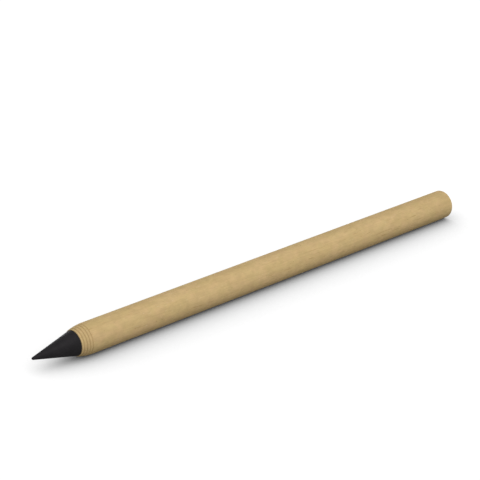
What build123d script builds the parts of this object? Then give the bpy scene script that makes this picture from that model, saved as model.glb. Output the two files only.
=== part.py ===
from build123d import *
import math
import os

# An inkless pencil: a turned wooden barrel with a black writing tip that screws into its nose.
# It lies along X with its point towards -X, and the origin is under its middle, where it rests.
# Stations along the pencil are measured back from the point. All sizes are in millimetres.

# Barrel
barrel_diameter = 8.0
barrel_length = 134.5
tail_round = 0.65

# Turned nose: a convex shoulder that runs into the barrel, with fine ring grooves
nose_length = 4.3
nose_drop = 0.6
mouth_bevel = 0.08
groove_count = 4
first_groove = 0.58
groove_pitch = 0.8
groove_width = 0.4
groove_depth = 0.13

# Writing cone, set back from the rim of the barrel's mouth by a narrow lip
cone_length = 12.5
point_radius = 0.36
lip_width = 0.14

# Threaded stud, fixed by its anchor end in the base of the cone
stud_diameter = 3.0
thread_pitch = 0.5
stud_reach = 7.0
anchor_length = 4.2
anchor_groove_count = 2
anchor_groove_width = 0.6
anchor_groove_depth = 0.25

# Knurled bush, glued into a blind hole in the nose
insert_diameter = 4.5
insert_recess = 0.5
spare_thread = 1.5
insert_chamfer = 0.3
knurl_count = 20
knurl_depth = 0.16
waist_width = 1.4
waist_depth = 0.3

# Clearances, and the included angle of the drills that make the blind holes
glue_gap = 0.05
anchor_gap = 0.03
thread_clearance = 0.05
hole_end_gap = 0.3
drill_angle = 118.0

# Stations and radii that follow from these sizes
mouth = cone_length
nose_end = mouth + nose_length
tail = mouth + barrel_length
barrel_radius = barrel_diameter / 2
mouth_radius = barrel_radius - nose_drop
cone_base_radius = mouth_radius - lip_width
stud_radius = stud_diameter / 2
stud_end = mouth + stud_reach
anchor_end = mouth - anchor_length
thread_depth = 0.6134 * thread_pitch
relief_end = mouth + thread_pitch
socket_radius = stud_radius + anchor_gap
socket_end = anchor_end - hole_end_gap
insert_radius = insert_diameter / 2
insert_start = mouth + insert_recess
insert_end = stud_end + spare_thread
insert_bore_radius = stud_radius + thread_clearance
hole_radius = insert_radius + glue_gap
hole_end = insert_end + hole_end_gap
drill_point = 1 / math.tan(math.radians(drill_angle / 2))

# The pencil's axis, and the half section through it: along the pencil, then out from its axis
point_x = -tail / 2
profile_plane = Plane(origin=(point_x, 0, barrel_radius), x_dir=(1, 0, 0), z_dir=(0, 0, 1))
pencil_axis = Axis((point_x, 0, barrel_radius), (1, 0, 0))


def cross_section(station):
    """The plane across the pencil at a station, facing the tail."""
    return Plane(origin=(point_x + station, 0, barrel_radius), x_dir=(0, 1, 0), z_dir=(1, 0, 0))


def nose_radius(station):
    """The outside radius of the barrel's nose at a station, before the grooves are cut."""
    arc_radius = (nose_length**2 + nose_drop**2) / (2 * nose_drop)
    before_end = max(nose_end - station, 0)
    return barrel_radius - arc_radius + math.sqrt(arc_radius**2 - before_end**2)


os.makedirs("parts", exist_ok=True)

# Barrel: a turned rod with a drilled nose, a shoulder, V-cut ring grooves and a rounded tail
groove_stations = [mouth + first_groove + i * groove_pitch for i in range(groove_count)]
groove_points = [(station, nose_radius(station)) for station in groove_stations]
with BuildPart() as barrel:
    with BuildSketch(profile_plane):
        with BuildLine():
            shoulder = TangentArc((nose_end, barrel_radius), (mouth, mouth_radius), tangent=(-1, 0))
            Polyline(
                shoulder @ 1,
                (mouth, hole_radius),
                (hole_end, hole_radius),
                (hole_end + hole_radius * drill_point, 0),
                (tail, 0),
                (tail, barrel_radius),
                shoulder @ 0,
            )
        make_face()
        with Locations(*groove_points):
            Polygon(
                (-groove_width, groove_depth),
                (0, -groove_depth),
                (groove_width, groove_depth),
                align=None,
                mode=Mode.SUBTRACT,
            )
    revolve(axis=pencil_axis)
    tail_rim = barrel.edges().filter_by(GeomType.CIRCLE).sort_by(Axis.X)[-1]
    fillet(tail_rim, tail_round)
    mouth_rims = barrel.edges().filter_by(GeomType.CIRCLE).group_by(Axis.X)[0]
    chamfer(mouth_rims.sort_by(SortBy.RADIUS)[-1], mouth_bevel)
barrel.part.label = "barrel"
export_step(barrel.part, "parts/barrel.step")

# Thread insert: a bush with two knurled bands, a waist between them that holds glue, and a plain bore
with BuildPart() as thread_insert:
    with BuildSketch(cross_section(insert_start)):
        Circle(insert_radius)
    extrude(amount=insert_end - insert_start)
    chamfer(thread_insert.edges().filter_by(GeomType.CIRCLE), insert_chamfer)
    with BuildSketch(cross_section(insert_start)):
        with PolarLocations(insert_radius, knurl_count):
            RegularPolygon(knurl_depth, 4)
    extrude(amount=insert_end - insert_start, mode=Mode.SUBTRACT)
    with BuildSketch(profile_plane):
        with Locations(((insert_start + insert_end) / 2, insert_radius)):
            Rectangle(waist_width, 2 * waist_depth)
    revolve(axis=pencil_axis, mode=Mode.SUBTRACT)
    with BuildSketch(cross_section(insert_start)):
        Circle(insert_bore_radius)
    extrude(amount=insert_end - insert_start, mode=Mode.SUBTRACT)
    mouths = thread_insert.edges().filter_by(GeomType.CIRCLE).filter_by(
        lambda rim: abs(rim.radius - insert_bore_radius) < thread_clearance / 2
    )
    chamfer(mouths, thread_depth)
thread_insert.part.label = "thread_insert"
export_step(thread_insert.part, "parts/thread_insert.step")

# Tip stud: bevelled ends, a relief where the thread runs out at the cone, and grooves for glue
anchor_groove_pitch = anchor_length / (anchor_groove_count + 1)
anchor_grooves = [
    (anchor_end + (i + 1) * anchor_groove_pitch, stud_radius) for i in range(anchor_groove_count)
]
with BuildPart() as tip_stud:
    with BuildSketch(cross_section(anchor_end)):
        Circle(stud_radius)
    extrude(amount=stud_end - anchor_end)
    chamfer(tip_stud.edges().filter_by(GeomType.CIRCLE), thread_depth)
    with BuildSketch(profile_plane):
        with Locations(((mouth + relief_end) / 2, stud_radius)):
            Rectangle(relief_end - mouth, 2 * thread_depth)
        with Locations(*anchor_grooves):
            Rectangle(anchor_groove_width, 2 * anchor_groove_depth)
    revolve(axis=pencil_axis, mode=Mode.SUBTRACT)
tip_stud.part.label = "tip_stud"
export_step(tip_stud.part, "parts/tip_stud.step")

# Tip cone: a rounded point, straight sides and a drilled socket in its flat base
rim_distance = math.hypot(cone_length - point_radius, cone_base_radius)
rim_angle = math.atan2(cone_base_radius, cone_length - point_radius)
half_angle = rim_angle - math.asin(point_radius / rim_distance)
point_tangent = (
    point_radius * (1 - math.sin(half_angle)),
    point_radius * math.cos(half_angle),
)
with BuildPart() as tip_cone:
    with BuildSketch(profile_plane):
        with BuildLine():
            point = TangentArc((0, 0), point_tangent, tangent=(0, 1))
            Polyline(
                point @ 1,
                (mouth, cone_base_radius),
                (mouth, socket_radius),
                (socket_end, socket_radius),
                (socket_end - socket_radius * drill_point, 0),
                point @ 0,
            )
        make_face()
    revolve(axis=pencil_axis)
tip_cone.part.label = "tip_cone"
export_step(tip_cone.part, "parts/tip_cone.step")
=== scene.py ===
import math

import bpy
from mathutils import Matrix, Vector


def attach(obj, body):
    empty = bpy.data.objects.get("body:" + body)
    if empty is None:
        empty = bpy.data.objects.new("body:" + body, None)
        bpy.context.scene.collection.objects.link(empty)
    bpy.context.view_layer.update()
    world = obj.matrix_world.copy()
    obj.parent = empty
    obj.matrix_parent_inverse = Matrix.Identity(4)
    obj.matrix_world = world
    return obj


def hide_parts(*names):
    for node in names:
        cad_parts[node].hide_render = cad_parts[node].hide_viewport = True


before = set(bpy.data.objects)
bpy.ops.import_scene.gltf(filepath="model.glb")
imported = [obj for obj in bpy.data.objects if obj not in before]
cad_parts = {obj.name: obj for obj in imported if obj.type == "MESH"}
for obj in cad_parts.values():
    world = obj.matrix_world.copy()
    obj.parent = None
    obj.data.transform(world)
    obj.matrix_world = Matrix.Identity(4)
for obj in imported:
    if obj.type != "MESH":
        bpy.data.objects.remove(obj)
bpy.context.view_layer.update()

# Driving sizes in millimetres, counts, and the drill's angle in degrees, as in the CAD source
BARREL_DIAMETER = 8.0
BARREL_LENGTH = 134.5
TAIL_ROUND = 0.65
NOSE_LENGTH = 4.3
NOSE_DROP = 0.6
MOUTH_ROUND = 0.08
GROOVE_COUNT = 4
FIRST_GROOVE = 0.58
GROOVE_PITCH = 0.8
GROOVE_WIDTH = 0.4
GROOVE_DEPTH = 0.13
CONE_LENGTH = 12.5
POINT_R = 0.36
LIP_WIDTH = 0.14
STUD_DIAMETER = 3.0
THREAD_PITCH = 0.5
THREAD_DEPTH_SHARE = 0.6134
STUD_REACH = 7.0
ANCHOR_LENGTH = 4.2
ANCHOR_GROOVE_COUNT = 2
ANCHOR_GROOVE_WIDTH = 0.6
ANCHOR_GROOVE_DEPTH = 0.25
INSERT_DIAMETER = 4.5
INSERT_RECESS = 0.5
SPARE_THREAD = 1.5
INSERT_CHAMFER = 0.3
KNURL_COUNT = 20
KNURL_DEPTH = 0.16
WAIST_WIDTH = 1.4
WAIST_DEPTH = 0.3
GLUE_GAP = 0.05
ANCHOR_GAP = 0.03
THREAD_GAP = 0.05
HOLE_END_GAP = 0.3
DRILL_ANGLE = 118.0

# Stations back from the point, and radii about the pencil's axis, that follow from these sizes
MOUTH = CONE_LENGTH
NOSE_END = MOUTH + NOSE_LENGTH
TAIL = MOUTH + BARREL_LENGTH
BARREL_R = BARREL_DIAMETER / 2
MOUTH_R = BARREL_R - NOSE_DROP
SHOULDER_R = (NOSE_LENGTH**2 + NOSE_DROP**2) / (2 * NOSE_DROP)
GROOVES = [MOUTH + FIRST_GROOVE + GROOVE_PITCH * i for i in range(GROOVE_COUNT)]
CONE_R = MOUTH_R - LIP_WIDTH
STUD_R = STUD_DIAMETER / 2
STUD_END = MOUTH + STUD_REACH
ANCHOR_END = MOUTH - ANCHOR_LENGTH
RELIEF_END = MOUTH + THREAD_PITCH
SOCKET_R = STUD_R + ANCHOR_GAP
SOCKET_END = ANCHOR_END - HOLE_END_GAP
THREAD_DEPTH = THREAD_DEPTH_SHARE * THREAD_PITCH
INSERT_R = INSERT_DIAMETER / 2
INSERT_START = MOUTH + INSERT_RECESS
INSERT_END = STUD_END + SPARE_THREAD
BORE_R = STUD_R + THREAD_GAP
LEAD_R = BORE_R + THREAD_DEPTH
HOLE_R = INSERT_R + GLUE_GAP
HOLE_END = INSERT_END + HOLE_END_GAP
DRILL_POINT = 1 / math.tan(math.radians(DRILL_ANGLE / 2))

# How finely the shapes are turned: segments round the axis, and points along each stretch of an outline
BARREL_SEGMENTS = 192
CONE_SEGMENTS = 128
STUD_SEGMENTS = 64
INSERT_SEGMENTS = 80
MOUTH_POINTS = 5
NOSE_POINTS = 93
BARREL_POINTS = 44
TAIL_POINTS = 12
POINT_POINTS = 10
FLANK_POINTS = 24
STUD_END_POINTS = 11
LEAD_POINTS = 20
STEPS_PER_PITCH = 24

# Edges that bend by more degrees than this stay sharp
SHARP_ANGLE = 32
# Radii of the rings on the tail's flat face, in millimetres
TAIL_FACE_RINGS = (2.4, 1.2, 0)
# Where the mouth's rounded rim runs into the nose, in degrees from the tail's direction
RIM_ANGLE = 100
# Ground edge of the cone's base: millimetres in front of the base and in from its radius
CONE_EDGE = ((0.06, 0.014), (0.02, 0.01), (0.0, 0.05))

MM_PER_METRE = 1000


# Turned shapes
def place(station, radius, angle):
    """A point of the pencil in metres, from its station, its radius and its angle about the axis."""
    x = station - TAIL / 2
    y = radius * math.cos(angle)
    z = radius * math.sin(angle) + BARREL_R
    return (x / MM_PER_METRE, y / MM_PER_METRE, z / MM_PER_METRE)


def turn(name, outline, segments, shape=None, closed=False):
    """Turns an outline of (station, radius) points about the axis.

    A shape function may vary the radius round the turn, and a closed outline makes a ring.
    """
    verts, rings = [], []
    for station, radius in outline:
        if radius == 0:
            rings.append([len(verts)] * segments)
            verts.append(place(station, 0, 0))
            continue
        rings.append(list(range(len(verts), len(verts) + segments)))
        for k in range(segments):
            angle = 2 * math.pi * k / segments
            r = shape(station, radius, angle) if shape else radius
            verts.append(place(station, r, angle))
    pairs = list(zip(rings, rings[1:]))
    if closed:
        pairs.append((rings[-1], rings[0]))
    faces = []
    for a, b in pairs:
        for k in range(segments):
            after = (k + 1) % segments
            corners = [a[k], a[after], b[after], b[k]]
            faces.append(list(dict.fromkeys(corners)))
    mesh = bpy.data.meshes.new(name)
    mesh.from_pydata(verts, [], faces)
    mesh.polygons.foreach_set("use_smooth", [True] * len(mesh.polygons))
    mesh.set_sharp_from_angle(angle=math.radians(SHARP_ANGLE))
    piece = bpy.data.objects.new(name, mesh)
    bpy.context.scene.collection.objects.link(piece)
    return piece


def steps(start, end, count):
    """Evenly spaced numbers from start to end, both included."""
    return [start + (end - start) * i / (count - 1) for i in range(count)]


def arc(centre, radius, start, end, count):
    """Points of an arc round centre, in degrees from the tail's direction towards the outside."""
    turns = [math.radians(a) for a in steps(start, end, count)]
    return [(centre[0] + radius * math.cos(t), centre[1] + radius * math.sin(t)) for t in turns]


def mark(piece, name, value):
    """Stores a number at each vertex for the material to read, worked out from station and radius."""
    layer = piece.data.attributes.new(name, "FLOAT", "POINT")
    for i, v in enumerate(piece.data.vertices):
        station = v.co.x * MM_PER_METRE + TAIL / 2
        radius = math.hypot(v.co.y, v.co.z - BARREL_R / MM_PER_METRE) * MM_PER_METRE
        layer.data[i].value = value(station, radius)


# Barrel
def groove_share(station):
    """How deep the ring grooves are cut at a station: 0 on the land, 1 at the bottom of a groove."""
    off = min(abs(station - g) for g in GROOVES) / (GROOVE_WIDTH / 2)
    return 0.5 + 0.5 * math.cos(math.pi * off) if off < 1 else 0.0


def nose_radius(station):
    """The radius of the nose at a station: one arc that runs into the barrel, less the grooves."""
    before = max(NOSE_END - station, 0)
    land = BARREL_R - SHOULDER_R + math.sqrt(SHOULDER_R**2 - before**2)
    return land - GROOVE_DEPTH * groove_share(station)


def groove_painted_shade_mark(station, radius):
    """The depth of the grooves on the outside, and 0 in the hole below them, which the wood uses to paint
    shade into the grooves.
    """
    outside = radius > (HOLE_R + MOUTH_R) / 2
    return groove_share(station) if outside else 0.0


def end_grain_mark(station, radius):
    """1 on the flat face of the tail and in the drilled hole, and 0 elsewhere."""
    margin = 0.01
    return 1.0 if station > TAIL - margin or radius < HOLE_R + margin else 0.0


def turned_barrel():
    rim_centre = (MOUTH + MOUTH_ROUND, MOUTH_R - MOUTH_ROUND)
    tail_centre = (TAIL - TAIL_ROUND, BARREL_R - TAIL_ROUND)
    outline = [(HOLE_END + HOLE_R * DRILL_POINT, 0), (HOLE_END, HOLE_R), (MOUTH, HOLE_R)]
    outline += arc(rim_centre, MOUTH_ROUND, 180, RIM_ANGLE, MOUTH_POINTS)
    outline += [(s, nose_radius(s)) for s in steps(MOUTH + MOUTH_ROUND, NOSE_END, NOSE_POINTS)]
    outline += [(s, BARREL_R) for s in steps(NOSE_END, TAIL - TAIL_ROUND, BARREL_POINTS)[1:]]
    outline += arc(tail_centre, TAIL_ROUND, 90, 0, TAIL_POINTS)[1:]
    outline += [(TAIL, r) for r in TAIL_FACE_RINGS]
    piece = turn("barrel_turned", outline, BARREL_SEGMENTS)
    # the groove depth that the wood paints shade from
    mark(piece, "groove", groove_painted_shade_mark)
    mark(piece, "end_grain", end_grain_mark)
    return piece


# Writing cone
def ground_cone():
    from_centre = math.hypot(MOUTH - POINT_R, CONE_R)
    half_angle = math.atan2(CONE_R, MOUTH - POINT_R) - math.asin(POINT_R / from_centre)
    edge = [(MOUTH - before, CONE_R - inward) for before, inward in CONE_EDGE]
    outline = arc((POINT_R, 0), POINT_R, 180, 90 + math.degrees(half_angle), POINT_POINTS)
    outline[0] = (0, 0)
    flank_start, flank_end = outline[-1], edge[0]
    flank_stations = steps(flank_start[0], flank_end[0], FLANK_POINTS)
    flank_radii = steps(flank_start[1], flank_end[1], FLANK_POINTS)
    outline += list(zip(flank_stations, flank_radii))[1:]
    outline += edge[1:]
    outline += [(MOUTH, SOCKET_R), (SOCKET_END, SOCKET_R), (SOCKET_END - SOCKET_R * DRILL_POINT, 0)]
    return turn("tip_cone_ground", outline, CONE_SEGMENTS)


# Screw thread
def thread_radius(station, angle):
    """The stud's thread at a point: a right-hand helix with rounded crests and roots."""
    turns = station / THREAD_PITCH - angle / (2 * math.pi)
    return STUD_R - THREAD_DEPTH * (0.5 + 0.5 * math.cos(2 * math.pi * turns))


def thread_points(length):
    """How many outline points a thread of this length gets."""
    return round(length * STEPS_PER_PITCH / THREAD_PITCH)


def stud_shape(station, radius, angle):
    """Cuts the thread into the stud behind its relief."""
    if station <= RELIEF_END:
        return radius
    return min(radius, thread_radius(station, angle))


def threaded_stud():
    root = STUD_R - THREAD_DEPTH
    groove_r = STUD_R - ANCHOR_GROOVE_DEPTH
    thread_end = STUD_END - THREAD_DEPTH
    count = thread_points(thread_end - RELIEF_END)
    outline = [(ANCHOR_END, 0), (ANCHOR_END, root), (ANCHOR_END + THREAD_DEPTH, STUD_R)]
    for i in range(ANCHOR_GROOVE_COUNT):
        centre = ANCHOR_END + ANCHOR_LENGTH * (i + 1) / (ANCHOR_GROOVE_COUNT + 1)
        start, end = centre - ANCHOR_GROOVE_WIDTH / 2, centre + ANCHOR_GROOVE_WIDTH / 2
        outline += [(start, STUD_R), (start, groove_r), (end, groove_r), (end, STUD_R)]
    outline += [(MOUTH, STUD_R), (MOUTH, root), (RELIEF_END, root)]
    outline += [(s, STUD_R) for s in steps(RELIEF_END, thread_end, count)[1:]]
    outline += [(s, STUD_R - (s - thread_end)) for s in steps(thread_end, STUD_END, STUD_END_POINTS)[1:]]
    outline += [(STUD_END, 0)]
    return turn("tip_stud_threaded", outline, STUD_SEGMENTS, stud_shape)


# Knurled bush
def insert_shape(station, radius, angle):
    """Knurl notches round the outside of the bush, but not in its waist, and a thread in its bore."""
    waist_r = INSERT_R - WAIST_DEPTH
    if radius < (LEAD_R + waist_r) / 2:
        return max(radius, thread_radius(station, angle) + THREAD_GAP)
    if radius < INSERT_R - KNURL_DEPTH:
        return radius
    knurl_width = 2 * math.pi * INSERT_R / KNURL_COUNT
    from_notch = abs(angle * KNURL_COUNT / (2 * math.pi) % 1 - 0.5) * knurl_width
    return radius - max(KNURL_DEPTH - from_notch, 0)


def threaded_insert():
    waist_r = INSERT_R - WAIST_DEPTH
    waist = (INSERT_START + INSERT_END) / 2
    waist_start, waist_end = waist - WAIST_WIDTH / 2, waist + WAIST_WIDTH / 2
    lead_length = 2 * THREAD_DEPTH
    thread_start, thread_end = INSERT_START + lead_length, INSERT_END - lead_length
    count = thread_points(thread_end - thread_start)
    outline = [(INSERT_START, INSERT_R - INSERT_CHAMFER), (INSERT_START + INSERT_CHAMFER, INSERT_R)]
    outline += [(waist_start, INSERT_R), (waist_start, waist_r), (waist_end, waist_r), (waist_end, INSERT_R)]
    outline += [(INSERT_END - INSERT_CHAMFER, INSERT_R), (INSERT_END, INSERT_R - INSERT_CHAMFER)]
    outline += [(s, LEAD_R - (INSERT_END - s)) for s in steps(INSERT_END, thread_end, LEAD_POINTS)]
    outline += [(s, BORE_R - THREAD_DEPTH) for s in steps(thread_end, thread_start, count)[1:-1]]
    outline += [(s, LEAD_R - (s - INSERT_START)) for s in steps(thread_start, INSERT_START, LEAD_POINTS)]
    return turn("insert_threaded", outline, INSERT_SEGMENTS, insert_shape, closed=True)


# Materials
class Nodes:
    """The node tree of a material or of the world, with short ways to add nodes and join them."""

    def __init__(self, owner, output="ShaderNodeOutputMaterial"):
        owner.use_nodes = True
        self.owner = owner
        self.tree = owner.node_tree
        self.tree.nodes.clear()
        self.output = self.add(output)

    def add(self, kind, inputs=None, **settings):
        node = self.tree.nodes.new(kind)
        for key, value in settings.items():
            setattr(node, key, value)
        for key, value in (inputs or {}).items():
            self.put(node.inputs[key], value)
        return node

    def put(self, socket, value):
        if isinstance(value, bpy.types.NodeSocket):
            self.tree.links.new(value, socket)
        else:
            socket.default_value = value

    def math(self, operation, a, b=0.0, c=0.0):
        return self.add("ShaderNodeMath", {0: a, 1: b, 2: c}, operation=operation).outputs[0]

    def scaled(self, vector, by):
        return self.add("ShaderNodeVectorMath", {0: vector, 1: by}, operation="MULTIPLY").outputs[0]

    def noise(self, mm, along, across, detail, rough, twist=0.0):
        """Noise with so many cells to the millimetre along the pencil and across it."""
        inputs = {"Vector": self.scaled(mm, (along, across, across)), "Scale": 1.0, "Detail": detail}
        inputs.update({"Roughness": rough, "Distortion": twist})
        return self.add("ShaderNodeTexNoise", inputs).outputs[0]

    def fit(self, value, low, high, to_low, to_high):
        """Leads a value smoothly from one level at low to another at high."""
        inputs = {0: value, 1: low, 2: high, 3: to_low, 4: to_high}
        return self.add("ShaderNodeMapRange", inputs, interpolation_type="SMOOTHSTEP").outputs[0]

    def mix(self, factor, a, b, blend="MIX"):
        node = self.add("ShaderNodeMix", data_type="RGBA", blend_type=blend)
        values = {("Factor", "VALUE"): factor, ("A", "RGBA"): a, ("B", "RGBA"): b}
        for socket in node.inputs:
            if (socket.name, socket.type) in values:
                self.put(socket, values[socket.name, socket.type])
        return next(socket for socket in node.outputs if socket.type == "RGBA")

    def attribute(self, name):
        return self.add("ShaderNodeAttribute", attribute_name=name).outputs["Fac"]

    def bump(self, height, strength, distance):
        inputs = {"Strength": strength, "Distance": distance, "Height": height}
        return self.add("ShaderNodeBump", inputs).outputs[0]

    def millimetres(self):
        """The place on the piece in millimetres, along the pencil and out from its axis."""
        metres = self.add("ShaderNodeTexCoord").outputs["Object"]
        scaled = self.scaled(metres, (MM_PER_METRE, MM_PER_METRE, MM_PER_METRE))
        axis = (0, 0, BARREL_R)
        return self.add("ShaderNodeVectorMath", {0: scaled, 1: axis}, operation="SUBTRACT").outputs[0]

    def seen_directly(self):
        """1 for rays from the camera, a mirror or glass, and 0 for rays that light other surfaces."""
        path = self.add("ShaderNodeLightPath").outputs
        seen = self.math("MAXIMUM", path["Is Camera Ray"], path["Is Glossy Ray"])
        return self.math("MAXIMUM", seen, path["Is Transmission Ray"])

    def show(self, shader):
        self.tree.links.new(shader.outputs[0], self.output.inputs["Surface"])
        return self.owner

    def show_either(self, factor, first, second):
        """Shows the first shader where the factor is 0 and the second where it is 1."""
        inputs = {0: factor, 1: first.outputs[0], 2: second.outputs[0]}
        return self.show(self.add("ShaderNodeMixShader", inputs))

    def surface(self, **inputs):
        """A principled surface; each input is the socket's name in lower case with underscores."""
        names = {k.replace("_", " ").title().replace("Ior", "IOR"): v for k, v in inputs.items()}
        return self.show(self.add("ShaderNodeBsdfPrincipled", names))


# Colours, as linear red, green, blue and alpha
WHITE = (1, 1, 1, 1)
FLOOR_GREY = (0.36, 0.36, 0.36, 1)
PALE_WOOD = (0.655, 0.474, 0.236, 1)
DEEP_WOOD = (0.592, 0.426, 0.199, 1)
GREENER_WOOD = (0.590, 0.460, 0.208, 1)
REDDER_WOOD = (0.655, 0.446, 0.240, 1)
DASH_BROWN = (0.42, 0.265, 0.105, 1)
FLECK_PALE = (0.74, 0.600, 0.370, 1)
SPECK_DARK = (0.30, 0.180, 0.075, 1)
# brown of the painted shade in the ring grooves
GROOVE_PAINTED_SHADE = (0.36, 0.245, 0.11, 1)
EARLY_WOOD = (0.570, 0.410, 0.206, 1)
LATE_WOOD = (0.505, 0.356, 0.174, 1)
PORE_DARK = (0.30, 0.190, 0.085, 1)
DARK_ALLOY = (0.0215, 0.0203, 0.0218, 1)
PALER_ALLOY = (0.0270, 0.0252, 0.0272, 1)
BRIGHT_BRASS = (0.72, 0.53, 0.24, 1)
DULL_BRASS = (0.56, 0.37, 0.14, 1)

# Growth rings of the end grain, in millimetres: the pith's place, and the rings' width and waver
PITH = (0, 6.5, -4.0)
RING_WIDTH = 0.95
RING_WAVER = 1.1


def wood_patches(n, mm):
    """Soft patches of paler and deeper, greener and redder wood."""
    blotch = n.noise(mm, along=0.13, across=0.34, detail=2.0, rough=0.5)
    hue = n.noise(mm, along=0.30, across=0.40, detail=2.0, rough=0.55, twist=0.4)
    colour = n.mix(n.fit(blotch, 0.34, 0.66, 0.22, 0.78), PALE_WOOD, DEEP_WOOD)
    colour = n.mix(n.fit(hue, 0.46, 0.66, 0.0, 0.28), colour, GREENER_WOOD)
    return n.mix(n.fit(hue, 0.34, 0.50, 0.28, 0.0), colour, REDDER_WOOD)


def wood_shade(n, mm, fibre):
    """Lengthwise streaks, fine fibres and small clouds, as a grey near 1 that multiplies the colour."""
    streak = n.noise(mm, along=0.028, across=1.7, detail=3.0, rough=0.55, twist=0.5)
    cloud = n.noise(mm, along=0.48, across=0.66, detail=3.0, rough=0.62, twist=0.4)
    shade = n.math("MULTIPLY", n.fit(streak, 0.35, 0.65, 1.014, 0.981), n.fit(fibre, 0.3, 0.7, 0.955, 1.045))
    shade = n.math("MULTIPLY", shade, n.fit(cloud, 0.32, 0.68, 1.046, 0.946))
    return n.add("ShaderNodeCombineColor", {0: shade, 1: shade, 2: shade}).outputs[0]


def end_grain(n, mm):
    """Growth rings round a pith outside the barrel, with dark pores."""
    across = n.scaled(mm, (0, 1, 1))
    from_pith = n.add("ShaderNodeVectorMath", {0: across, 1: PITH}, operation="DISTANCE").outputs["Value"]
    waver = n.noise(mm, along=0.3, across=0.4, detail=2.0, rough=0.5)
    ring = n.math("MULTIPLY_ADD", waver, RING_WAVER, from_pith)
    ring = n.math("SINE", n.math("MULTIPLY", ring, 2 * math.pi / RING_WIDTH))
    pore = n.fit(n.noise(mm, along=0.3, across=8.0, detail=2.0, rough=0.6), 0.58, 0.70, 0.0, 0.45)
    colour = n.mix(n.fit(ring, -1.0, 1.0, 0.0, 1.0), EARLY_WOOD, LATE_WOOD)
    return n.mix(pore, colour, PORE_DARK)


def wood():
    n = Nodes(bpy.data.materials.new("barrel_wood"))
    mm = n.millimetres()
    fibre = n.noise(mm, along=0.20, across=7.0, detail=3.0, rough=0.6)
    dash = n.fit(n.noise(mm, along=0.22, across=3.4, detail=1.0, rough=0.5), 0.65, 0.74, 0.0, 1.0)
    dash_depth = n.fit(n.noise(mm, along=0.03, across=0.22, detail=1.0, rough=0.5), 0.50, 0.60, 0.22, 0.62)
    speck = n.fit(n.noise(mm, along=1.3, across=3.4, detail=1.0, rough=0.5), 0.72, 0.78, 0.0, 1.0)
    fleck = n.fit(n.noise(mm, along=0.75, across=2.6, detail=1.0, rough=0.5, twist=0.8), 0.70, 0.77, 0.0, 1.0)
    colour = n.mix(1.0, wood_patches(n, mm), wood_shade(n, mm, fibre), "MULTIPLY")
    colour = n.mix(n.math("MULTIPLY", dash, dash_depth), colour, DASH_BROWN)
    colour = n.mix(n.math("MULTIPLY", fleck, 0.45), colour, FLECK_PALE)
    colour = n.mix(n.math("MULTIPLY", speck, 0.55), colour, SPECK_DARK)
    # painted shade: the wood turns browner the deeper the ring grooves are cut
    colour = n.mix(n.math("MULTIPLY", n.attribute("groove"), 0.45), colour, GROOVE_PAINTED_SHADE)
    colour = n.mix(n.attribute("end_grain"), colour, end_grain(n, mm))
    pits = n.math("MULTIPLY", n.math("ADD", dash, speck), 0.5)
    normal = n.bump(n.math("SUBTRACT", fibre, pits), strength=0.25, distance=0.00003)
    rough = n.fit(fibre, 0.3, 0.7, 0.60, 0.72)
    return n.surface(base_color=colour, roughness=rough, normal=normal, specular_ior_level=0.03)


def alloy():
    n = Nodes(bpy.data.materials.new("tip_alloy"))
    mm = n.millimetres()
    cloud = n.noise(mm, along=0.5, across=0.5, detail=3.0, rough=0.6)
    grain = n.noise(mm, along=9.0, across=9.0, detail=2.0, rough=0.6)
    turned = n.noise(mm, along=14.0, across=0.3, detail=2.0, rough=0.6)
    colour = n.mix(n.fit(cloud, 0.3, 0.7, 0.0, 1.0), DARK_ALLOY, PALER_ALLOY)
    height = n.math("ADD", n.math("MULTIPLY", grain, 0.4), turned)
    normal = n.bump(height, strength=0.2, distance=0.00002)
    rough = n.fit(grain, 0.3, 0.7, 0.44, 0.56)
    return n.surface(base_color=colour, roughness=rough, normal=normal, specular_ior_level=0.025)


def brass():
    n = Nodes(bpy.data.materials.new("thread_brass"))
    mm = n.millimetres()
    cloud = n.noise(mm, along=0.9, across=0.9, detail=3.0, rough=0.6)
    turned = n.noise(mm, along=18.0, across=0.5, detail=2.0, rough=0.6)
    colour = n.mix(n.fit(cloud, 0.35, 0.7, 0.0, 1.0), BRIGHT_BRASS, DULL_BRASS)
    normal = n.bump(turned, strength=0.15, distance=0.00002)
    rough = n.fit(cloud, 0.3, 0.7, 0.30, 0.42)
    return n.surface(base_color=colour, roughness=rough, normal=normal, metallic=1.0)


# Pieces
barrel = turned_barrel()
cone = ground_cone()
stud = threaded_stud()
insert = threaded_insert()
brass_material = brass()
for piece, body, node, slot, material in (
    (barrel, "barrel_body", "barrel", "barrel_wood", wood()),
    (insert, "barrel_body", "thread_insert", "thread_brass", brass_material),
    (stud, "tip_body", "tip_stud", "thread_brass", brass_material),
    (cone, "tip_body", "tip_cone", "tip_alloy", alloy()),
):
    piece.data.materials.append(material)
    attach(piece, body)
    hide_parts(node)
    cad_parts[node].data.materials.clear()
    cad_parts[node].data.materials.append(material)

# Floor and light, in metres and watts
FLOOR_HALF = 3
# reach, contrast and offset of the floor's painted shadow
SHADOW_REACH = 0.03
SHADOW_CONTRAST = 1.15
SHADOW_OFFSET = -0.07
SKY_STRENGTH = 0.22


def floor_white():
    """White where it is seen, darkened by a painted soft shadow from how little of an even sky each point
    sees, and grey for the light it throws back.
    """
    n = Nodes(bpy.data.materials.new("floor_white"))
    grey = n.add("ShaderNodeBsdfDiffuse", {"Color": FLOOR_GREY})
    # painted shadow: the seen white is dimmed by ambient occlusion, not by the lamps
    sky_share = n.add("ShaderNodeAmbientOcclusion", {"Distance": SHADOW_REACH}, samples=8).outputs["AO"]
    level = n.math("MULTIPLY_ADD", sky_share, SHADOW_CONTRAST, SHADOW_OFFSET)
    level = n.math("MAXIMUM", level, 0.0)
    white = n.add("ShaderNodeEmission", {"Color": WHITE, "Strength": level})
    return n.show_either(n.seen_directly(), grey, white)


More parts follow.
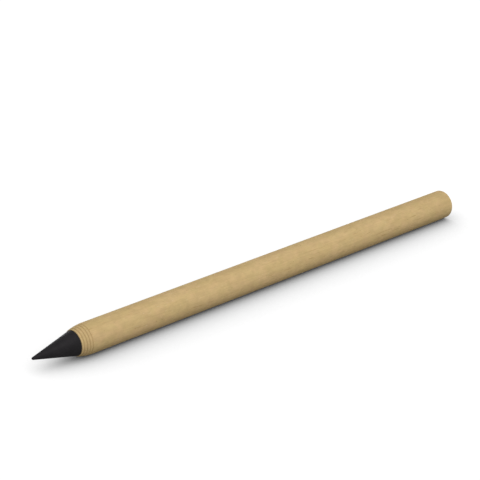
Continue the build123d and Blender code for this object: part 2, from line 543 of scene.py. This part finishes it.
def studio():
    """A dim even sky for the light it gives, and white where it is seen."""
    n = Nodes(bpy.data.worlds.new("studio"), "ShaderNodeOutputWorld")
    sky = n.add("ShaderNodeBackground", {"Color": WHITE, "Strength": SKY_STRENGTH})
    backdrop = n.add("ShaderNodeBackground", {"Color": WHITE, "Strength": 1.0})
    return n.show_either(n.seen_directly(), sky, backdrop)


def softbox(name, width, height, power, location):
    """A flat soft lamp that faces the origin, under the middle of the pencil."""
    lamp_data = bpy.data.lights.new(name, "AREA")
    lamp_data.shape = "RECTANGLE"
    lamp_data.size = width
    lamp_data.size_y = height
    lamp_data.energy = power
    lamp = bpy.data.objects.new(name, lamp_data)
    lamp.location = location
    lamp.rotation_euler = (-Vector(location)).to_track_quat("-Z", "Y").to_euler()
    bpy.context.scene.collection.objects.link(lamp)


mesh = bpy.data.meshes.new("floor")
corners = [(x * FLOOR_HALF, y * FLOOR_HALF, 0) for x, y in ((-1, -1), (1, -1), (1, 1), (-1, 1))]
mesh.from_pydata(corners, [], [(0, 1, 2, 3)])
mesh.materials.append(floor_white())
floor = bpy.data.objects.new("floor", mesh)
bpy.context.scene.collection.objects.link(floor)

bpy.context.scene.world = studio()
softbox("key", width=0.7, height=0.7, power=8.1, location=(-0.1, -0.616, 0.788))
softbox("low_back", width=0.9, height=0.08, power=2.0, location=(0.05, 0.8, 0.045))
softbox("low_tail", width=0.12, height=0.06, power=1.9, location=(0.85, 0.0, 0.035))

# Camera, where the lower view of the photo was taken from: metres, degrees and millimetres of lens
CAMERA_PLACE = (-0.29460, -0.30943, 0.19181)
CAMERA_HEADING = 47.0213
CAMERA_DIP = 22.6498
CAMERA_LENS = 133.46

camera_data = bpy.data.cameras.new("camera")
camera_data.sensor_width = 36.0
camera_data.lens = CAMERA_LENS
camera_data.clip_start = 0.01
camera_data.clip_end = 20.0
camera = bpy.data.objects.new("camera", camera_data)
heading = math.radians(CAMERA_HEADING)
dip = math.radians(CAMERA_DIP)
forward = Vector((math.cos(dip) * math.cos(heading), math.cos(dip) * math.sin(heading), -math.sin(dip)))
turned = forward.to_track_quat("-Z", "Y").to_matrix().to_4x4()
camera.matrix_world = Matrix.Translation(CAMERA_PLACE) @ turned
bpy.context.scene.collection.objects.link(camera)
bpy.context.scene.camera = camera
bpy.context.scene.view_settings.view_transform = "Standard"
